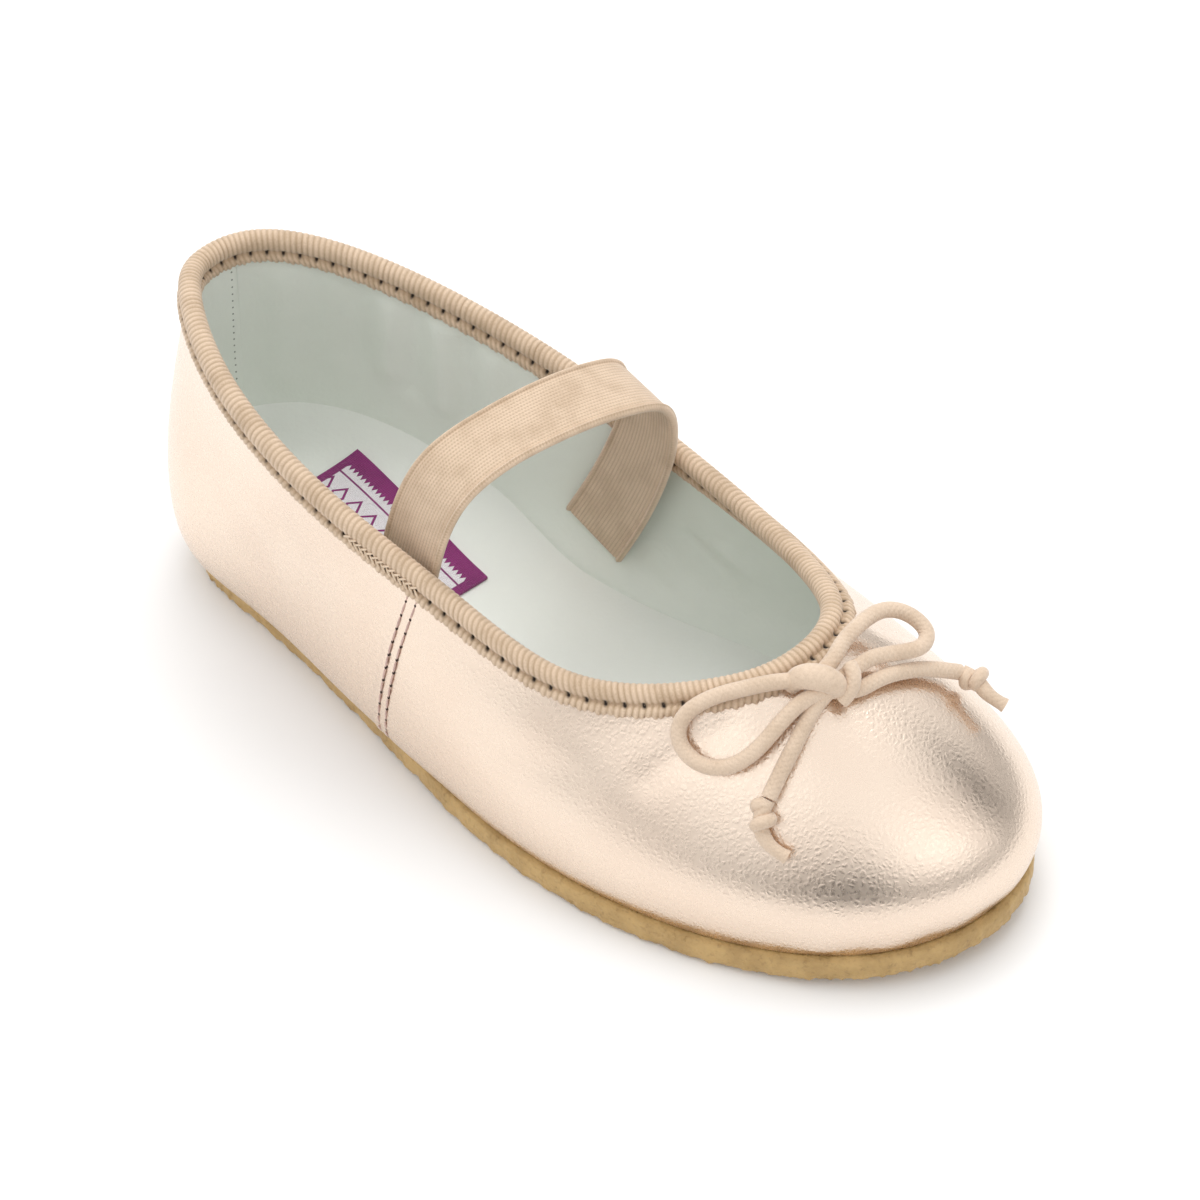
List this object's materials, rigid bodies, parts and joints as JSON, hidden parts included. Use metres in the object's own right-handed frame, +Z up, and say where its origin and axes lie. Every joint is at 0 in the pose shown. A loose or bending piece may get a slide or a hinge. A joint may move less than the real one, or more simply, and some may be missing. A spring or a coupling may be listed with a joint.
{
  "type": "ballet flat",
  "caption": "Child's leather ballet flat for the right foot: round toe, grosgrain-bound collar, elastic instep strap, drawstring bow and a thin crepe rubber sole.",
  "frame": {"origin": "On the floor plane, under the middle of the heel's flat tread.", "axes": "+X runs from heel to toe, +Y to the inner (medial) side of the foot, +Z up."},
  "size_m": [0.1603, 0.0643, 0.0597],
  "materials": {
    "upper_leather": "metallic",
    "sole_rubber": "matte",
    "lining_leather": "satin",
    "binding_tape": "matte",
    "strap_elastic": "matte",
    "label_weave": "matte",
    "bow_cord": "matte"
  },
  "bodies": {
    "root": {"upper": "upper_leather", "outsole": "sole_rubber", "insole": "lining_leather", "collar_binding": "binding_tape", "instep_strap": "strap_elastic", "insole_label": "label_weave", "bow_knot": "bow_cord", "bow_loop_outer": "bow_cord", "bow_loop_inner": "bow_cord", "bow_tail_outer": "bow_cord", "bow_tail_inner": "bow_cord", "bow_end_outer": "bow_cord", "bow_end_inner": "bow_cord"}
  },
  "joints": []
}
